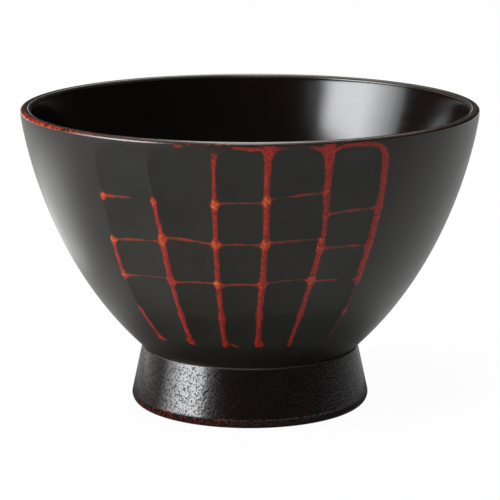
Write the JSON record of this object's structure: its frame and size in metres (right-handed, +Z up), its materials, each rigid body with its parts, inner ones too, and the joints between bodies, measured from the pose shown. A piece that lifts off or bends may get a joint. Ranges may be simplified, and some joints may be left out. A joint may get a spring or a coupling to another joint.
{
  "type": "soup bowl",
  "caption": "Footed round soup bowl in black lacquer over turned wood, with a gouge-carved panel of red-lined facets on its front, for serving soup.",
  "frame": {"origin": "centre of the foot's bearing ring, on the plane that the bowl stands on", "axes": "+Z up along the bowl's axis, -Y towards the carved panel"},
  "size_m": [0.115, 0.115, 0.076],
  "materials": {
    "bare_wood": "turned, unfinished",
    "gloss_black_lacquer": "deep gloss black lacquer",
    "satin_black_lacquer": "satin black lacquer",
    "worn_lip_lacquer": "brown-black lacquer rubbed through to red",
    "red_ground_lacquer": "red lacquer, polished through",
    "facet_black_lacquer": "satin black lacquer",
    "stippled_foot_lacquer": "stippled brown-black lacquer"
  },
  "bodies": {
    "root": {"bowl_body": "bare_wood", "foot_ring": "bare_wood", "inner_lining": "gloss_black_lacquer", "outer_coat": "satin_black_lacquer", "rim_lip": "worn_lip_lacquer", "foot_coat": "stippled_foot_lacquer", "foot_well_coat": "satin_black_lacquer", "carved_ground": "red_ground_lacquer", "facet_c1_r1": "facet_black_lacquer", "facet_c1_r2": "facet_black_lacquer", "facet_c1_r3": "facet_black_lacquer", "facet_c1_r4": "facet_black_lacquer", "facet_c1_r5": "facet_black_lacquer", "facet_c2_r1": "facet_black_lacquer", "facet_c2_r2": "facet_black_lacquer", "facet_c2_r3": "facet_black_lacquer", "facet_c2_r4": "facet_black_lacquer", "facet_c2_r5": "facet_black_lacquer", "facet_c3_r1": "facet_black_lacquer", "facet_c3_r2": "facet_black_lacquer", "facet_c3_r3": "facet_black_lacquer", "facet_c3_r4": "facet_black_lacquer", "facet_c3_r5": "facet_black_lacquer", "facet_c4_r1": "facet_black_lacquer", "facet_c4_r2": "facet_black_lacquer", "facet_c4_r3": "facet_black_lacquer", "facet_c4_r4": "facet_black_lacquer", "facet_c4_r5": "facet_black_lacquer", "facet_c5_r1": "facet_black_lacquer", "facet_c5_r2": "facet_black_lacquer", "facet_c5_r3": "facet_black_lacquer", "facet_c5_r4": "facet_black_lacquer", "facet_c5_r5": "facet_black_lacquer"}
  },
  "joints": []
}
